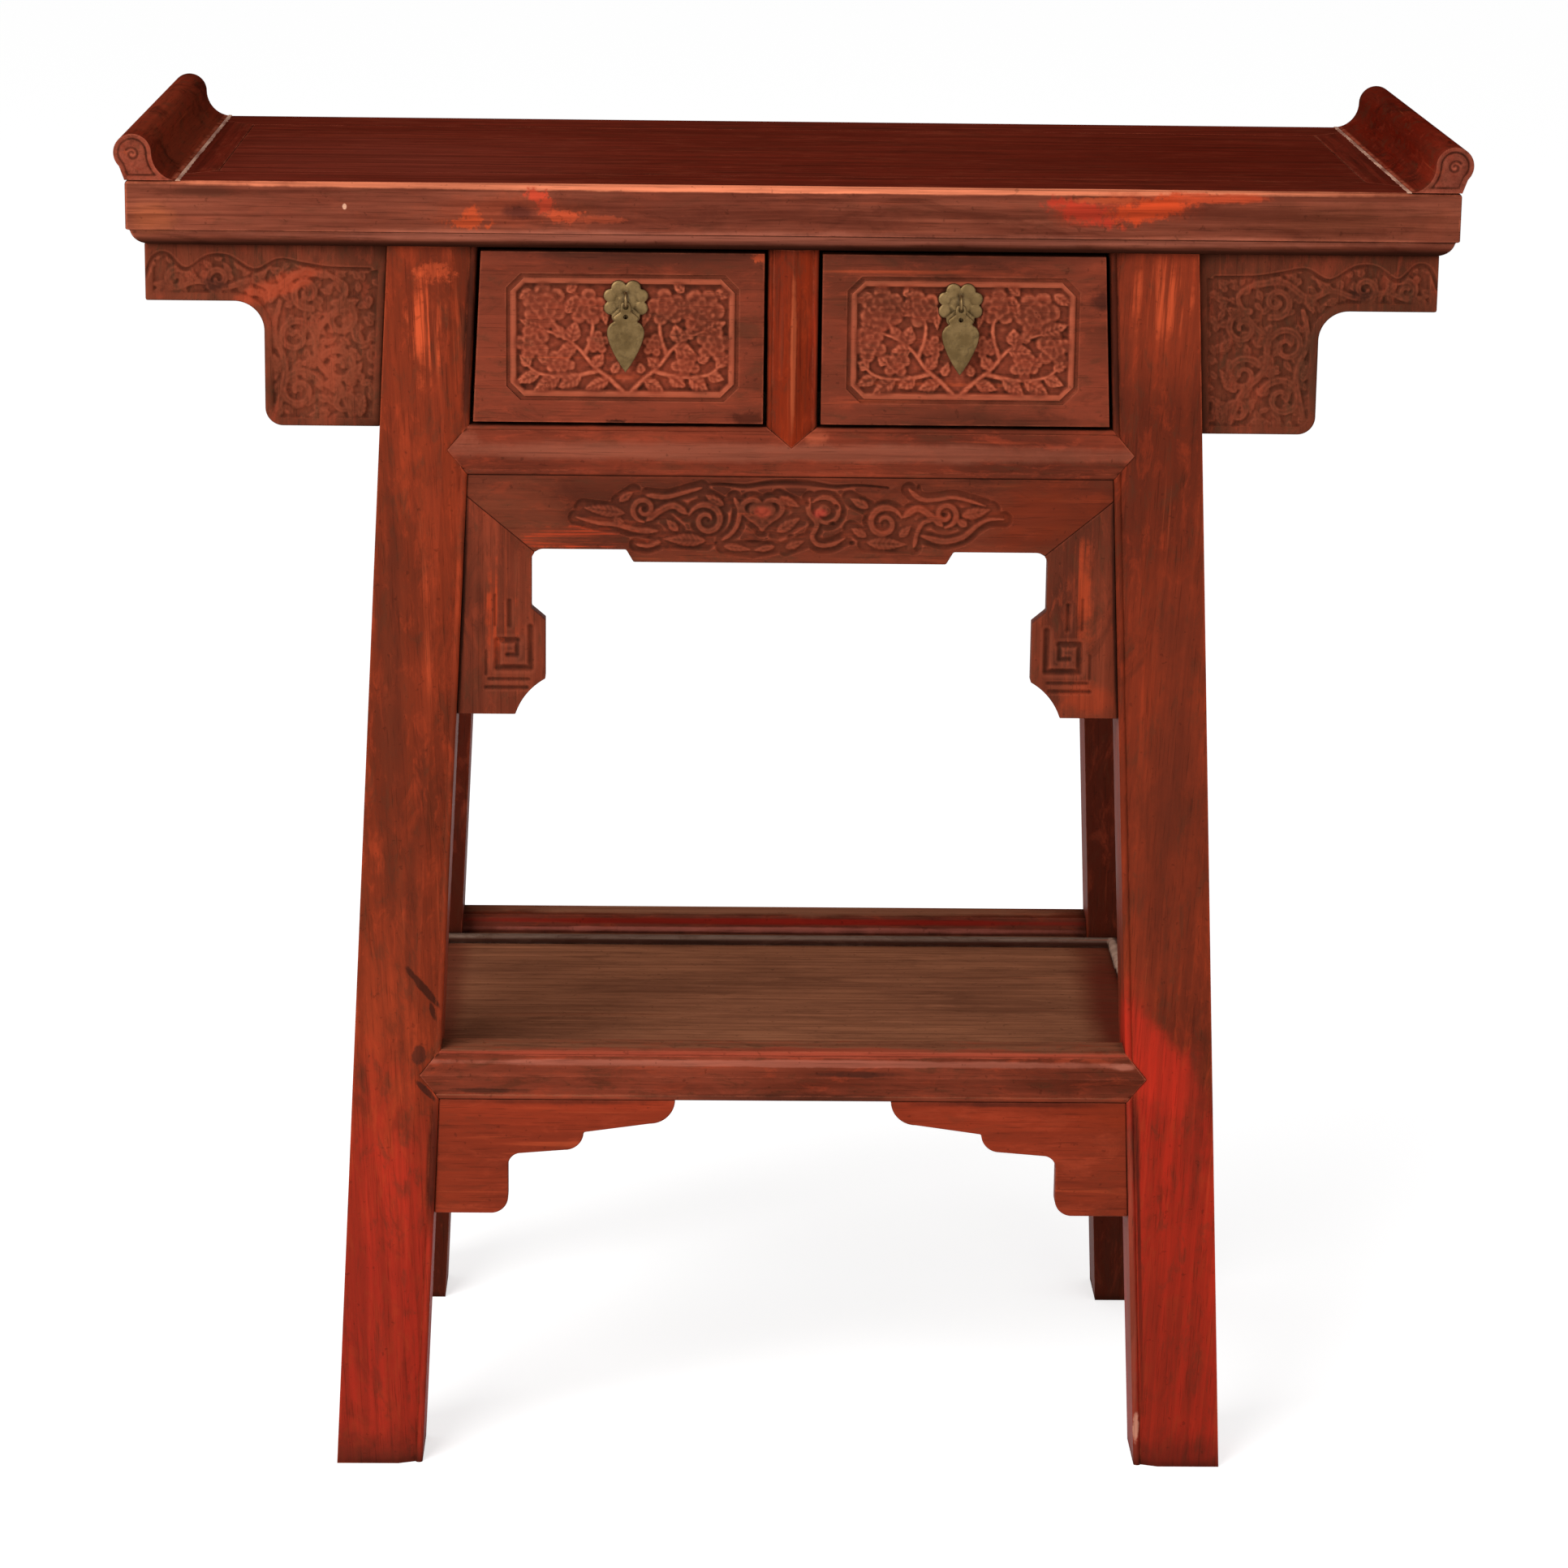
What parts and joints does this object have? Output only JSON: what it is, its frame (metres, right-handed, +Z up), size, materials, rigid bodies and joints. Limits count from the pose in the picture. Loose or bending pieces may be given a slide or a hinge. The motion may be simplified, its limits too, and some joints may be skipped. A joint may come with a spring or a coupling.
{
  "type": "altar table",
  "caption": "Lacquered altar table with everted scroll ends, drawers with hanging brass pulls, carved apron and spandrels, splayed legs and a low framed shelf.",
  "frame": {"origin": "on the floor under the middle of the table", "axes": "+Z up, the front with the drawers faces -Y, +X to the right seen from the front"},
  "size_m": [0.9, 0.392, 0.9335],
  "materials": {
    "top_lacquer": "worn dark red lacquer, satin",
    "case_lacquer": "worn brown-red lacquer, satin",
    "leg_lacquer": "worn red lacquer, satin",
    "shelf_lacquer": "rubbed brown lacquer, satin",
    "bare_wood": "aged bare wood",
    "aged_brass": "aged brass with an olive patina"
  },
  "bodies": {
    "frame": {"apron_board": "case_lacquer", "apron_drop_left": "case_lacquer", "apron_drop_right": "case_lacquer", "case_back_panel": "case_lacquer", "case_panel_left": "case_lacquer", "case_panel_right": "case_lacquer", "case_rail_left": "case_lacquer", "case_rail_right": "case_lacquer", "drawer_divider": "case_lacquer", "drawer_rail_back": "case_lacquer", "drawer_rail_front": "case_lacquer", "flange_left": "top_lacquer", "flange_right": "top_lacquer", "leg_back_left": "leg_lacquer", "leg_back_right": "leg_lacquer", "leg_front_left": "leg_lacquer", "leg_front_right": "leg_lacquer", "runner_centre": "bare_wood", "runner_left": "bare_wood", "runner_right": "bare_wood", "shelf_batten_left": "bare_wood", "shelf_batten_right": "bare_wood", "shelf_bracket_left": "case_lacquer", "shelf_bracket_right": "case_lacquer", "shelf_panel": "shelf_lacquer", "shelf_rail_back": "case_lacquer", "shelf_rail_front": "case_lacquer", "shelf_rail_left": "case_lacquer", "shelf_rail_right": "case_lacquer", "spandrel_back_left": "case_lacquer", "spandrel_back_right": "case_lacquer", "spandrel_front_left": "case_lacquer", "spandrel_front_right": "case_lacquer", "top_batten_left": "bare_wood", "top_batten_right": "bare_wood", "top_end_left": "top_lacquer", "top_end_right": "top_lacquer", "top_panel": "top_lacquer", "top_rail_back": "top_lacquer", "top_rail_front": "top_lacquer"},
    "drawer_left": {"drawer_left_back": "bare_wood", "drawer_left_bottom": "bare_wood", "drawer_left_front": "case_lacquer", "drawer_left_inner_side": "bare_wood", "drawer_left_outer_side": "bare_wood", "drawer_left_pull_cotter": "aged_brass", "drawer_left_pull_plate": "aged_brass"},
    "drawer_right": {"drawer_right_back": "bare_wood", "drawer_right_bottom": "bare_wood", "drawer_right_front": "case_lacquer", "drawer_right_inner_side": "bare_wood", "drawer_right_outer_side": "bare_wood", "drawer_right_pull_cotter": "aged_brass", "drawer_right_pull_plate": "aged_brass"},
    "pendant_left": {"drawer_left_pull_pendant": "aged_brass"},
    "pendant_right": {"drawer_right_pull_pendant": "aged_brass"}
  },
  "joints": [
    {"name": "drawer_left_slide", "type": "slide", "parent": "frame", "child": "drawer_left", "axis": [0, -1, 0], "range_m": [0, 0.24]},
    {"name": "drawer_right_slide", "type": "slide", "parent": "frame", "child": "drawer_right", "axis": [0, -1, 0], "range_m": [0, 0.24]},
    {"name": "pendant_left_swing", "type": "hinge", "parent": "drawer_left", "child": "pendant_left", "pos_m": [-0.11191, -0.18656, 0.8256], "axis": [-1, 0, 0], "range_deg": [0, 95]},
    {"name": "pendant_right_swing", "type": "hinge", "parent": "drawer_right", "child": "pendant_right", "pos_m": [0.11191, -0.18656, 0.8256], "axis": [-1, 0, 0], "range_deg": [0, 95]}
  ]
}
